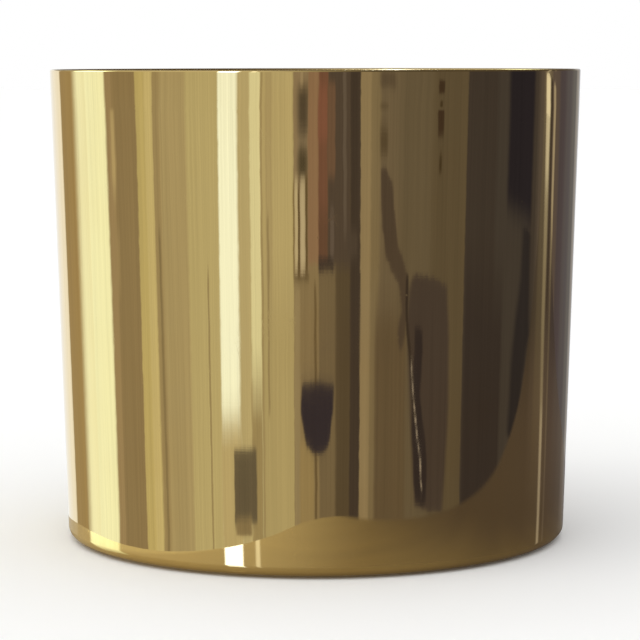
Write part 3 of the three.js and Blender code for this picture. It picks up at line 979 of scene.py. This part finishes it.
def studio_light():
    """The world: plain pale light from all round for the camera and for matt surfaces, and
    for what the brass mirrors a room, light on its left and dim on its right."""
    world = bpy.data.worlds.new("studio")
    bpy.context.scene.world = world
    world.use_nodes = True
    shader = Shader(world.node_tree)
    direction = shader.node("ShaderNodeTexCoord", output="Generated")
    x, y, z = [shader.node("ShaderNodeSeparateXYZ", None, {0: direction}, axis) for axis in "XYZ"]
    azimuth = x.maths("ARCTAN2", x, y * -1) * (180 / math.pi)
    elevation = z.maths("ARCSINE", z) * (180 / math.pi)

    def upright(across, up):
        """A noise that is stretched upright: its scales are per degree."""
        inputs = {"X": azimuth * across, "Y": elevation * up}
        return shader.noise(shader.node("ShaderNodeCombineXYZ", None, inputs), 1.0, 2.0)

    beyond = azimuth.maths("MAXIMUM", azimuth - 90, 0.0)
    ragged = (upright(0.6, 4.5) - 0.5) * 1.1
    leaning = azimuth + beyond * (elevation + 7) * 0.006 + ragged
    room = (*BEHIND, 1)
    for begins, soft, colour in BANDS:
        share = shader.ramp(leaning, begins - soft / 2, begins + soft / 2)
        room = shader.blend(share, room, (*colour, 1))

    to_dim_side = x + y.maths("MAXIMUM", y, 0.0) * 0.5
    to_dim_side = shader.ramp(to_dim_side, -0.5, 0.45)
    ceiling = shader.blend(to_dim_side, (*ROOM_CEILING, 1), (*DIM_CEILING, 1))
    room = shader.blend(shader.ramp(elevation, CEILING_FROM, CEILING_FULL), room, ceiling)

    below = elevation.maths("ABSOLUTE", elevation) * -1
    for border, colour, outline in GAPS.values():
        share = in_outline(shader, azimuth + ragged * 0.4, below, border, outline)
        room = shader.blend(share, room, (*colour, 1))

    azimuth = azimuth + (upright(0.3, 1.6) - 0.5) * 0.9 + ragged * 0.4
    elevation = elevation + (upright(0.5, 0.9) - 0.5) * 0.16 + (upright(2.2, 0.3) - 0.5) * 0.12
    for sides, levels, border, colour in THINGS.values():
        share = in_patch(shader, azimuth, elevation, sides, levels, border)
        room = shader.blend(share, room, (*colour, 1))
    for border, colour, outline in SHAPES.values():
        share = in_outline(shader, azimuth, elevation, border, outline)
        room = shader.blend(share, room, (*colour, 1))
    border, colour, outline = BEADS
    turns = elevation * (2 * math.pi / BEAD_SPACING)
    between = shader.ramp(turns.maths("SINE", turns), -0.8, 0.6)
    share = in_outline(shader, azimuth, elevation, border, outline) * between
    room = shader.blend(share, room, (*colour, 1))

    streaks = upright(1.7, 0.12) * 0.34 + upright(6.0, 0.3) * 0.16 + upright(0.3, 0.08) * 0.16 + 0.67
    room = shader.node("ShaderNodeVectorMath", {"operation": "SCALE"}, {0: room, "Scale": streaks})
    low = shader.ramp(elevation, FLOOR_FROM, FLOOR_FULL)
    mirrored = shader.blend(low, room, (*ROOM_FLOOR, 1))
    mirror_ray = shader.node("ShaderNodeLightPath", output="Is Glossy Ray")
    plain = shader.node("ShaderNodeBackground", None, {"Color": (1.0, 1.0, 1.0, 1)})
    mirrored = shader.node("ShaderNodeBackground", None, {"Color": mirrored})
    seen = shader.node("ShaderNodeMixShader", None, {0: mirror_ray, 1: plain, 2: mirrored})
    shader.node("ShaderNodeOutputWorld", None, {"Surface": seen})


def key_light():
    """A soft sun from the upper left, which the polish doesn't mirror."""
    data = bpy.data.lights.new("key", "SUN")
    data.energy = 0.7
    data.angle = math.radians(70)
    key = bpy.data.objects.new("key", data)
    key.rotation_euler = (math.radians(32), math.radians(-24), 0)
    key.visible_glossy = False
    bpy.context.scene.collection.objects.link(key)


FLOOR_RADIUS = 11.0


def stage_plate(name, outline, z, finish):
    """A flat plate that faces up, with a convex outline round the origin."""
    points = np.column_stack([np.vstack([outline, [[0, 0]]]), np.full(len(outline) + 1, z)])
    faces = fan(0, len(outline), len(outline), upwards=True)
    plate = mesh_piece(name, points, np.empty((0, 4), int), faces)
    plate.data.materials.append(finish)
    return plate


def table_outline():
    """A long narrow table top with round corners, turned about the pot's axis: the pot
    stands near its left end, which isn't quite square. From a bend's start to its end a
    corner is rounded by (1 - t)^2 start + 2 t (1 - t) corner + t^2 end, t from 0 to 1."""
    corners = np.array([
        (TABLE_RIGHT, TABLE_BACK), (TABLE_LEFT_BACK, TABLE_BACK),
        (TABLE_LEFT_FRONT, TABLE_FRONT), (TABLE_RIGHT, TABLE_FRONT),
    ])
    to_last = np.roll(corners, 1, axis=0) - corners
    to_next = np.roll(corners, -1, axis=0) - corners
    t = np.linspace(0, 1, 13)[:, None]
    rounded = []
    for corner, last, following, bend in zip(corners, to_last, to_next, TABLE_BENDS):
        start = corner + last / np.linalg.norm(last) * bend
        end = corner + following / np.linalg.norm(following) * bend
        rounded.append((1 - t) ** 2 * start + 2 * t * (1 - t) * corner + t**2 * end)
    c, s = math.cos(TABLE_TURN), math.sin(TABLE_TURN)
    return np.concatenate(rounded) @ np.array([[c, s], [-s, c]])


def stage():
    """The floor that the camera sees, and the table top that only the brass mirrors."""
    sweep = arc((0, 0), FLOOR_RADIUS, 0, 2 * math.pi, 96)[:-1]
    floor = stage_plate("floor", sweep, 0, material("pale_floor", pale_floor))
    floor.visible_glossy = False
    table = stage_plate("table", table_outline(), TABLE_LIFT, material("table_top", table_top))
    table.visible_camera = False
    table.visible_diffuse = False
    table.visible_shadow = False


CAMERA_PLACE = (0, -0.734, 0.1358)
CAMERA_LENS, CAMERA_SENSOR = 144.7, 36  # both in millimetres
CAMERA_PITCH, CAMERA_YAW, CAMERA_ROLL = math.radians(-5.79), math.radians(-0.10), -0.0013


def camera():
    """A long lens, just above the rim, looking slightly down."""
    data = bpy.data.cameras.new("camera")
    data.lens = CAMERA_LENS
    data.sensor_width = CAMERA_SENSOR
    data.clip_start = 0.01
    data.clip_end = 60
    seat = bpy.data.objects.new("camera", data)
    turn = Matrix.Rotation(CAMERA_YAW, 4, "Z") @ Matrix.Rotation(QUARTER + CAMERA_PITCH, 4, "X")
    turn = turn @ Matrix.Rotation(CAMERA_ROLL, 4, "Z")
    seat.matrix_world = Matrix.Translation(CAMERA_PLACE) @ turn
    bpy.context.scene.collection.objects.link(seat)
    bpy.context.scene.camera = seat


# ---- The pot put together ----


def finished(piece, finish, body, node):
    """Gives a piece its finish and puts it in place of its CAD node, on its body."""
    piece.data.materials.append(finish)
    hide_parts(node)
    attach(piece, body)


def build():
    brass = material("polished_brass", polished_brass)
    finished(brass_shell(), brass, "pot", "brass_shell")
    finished(liner(), material("dark_plastic", dark_plastic), "liner", "inner_liner")
    felt = material("brown_felt", brown_felt)
    adhesive = material("pale_adhesive", pale_adhesive)
    for number in range(1, 5):
        node = f"felt_foot_{number}"
        disc = foot_disc(f"felt_pad_{number}", *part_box(node), FELT_EDGE, FELT_FUZZ, number)
        finished(disc, felt, "pot", node)
        node = f"foot_adhesive_{number}"
        disc = foot_disc(f"adhesive_disc_{number}", *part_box(node), FILM_EDGE, FILM_FUZZ, number + 10)
        finished(disc, adhesive, "pot", node)


build()
camera()
studio_light()
key_light()
stage()
bpy.context.scene.view_settings.view_transform = "Standard"
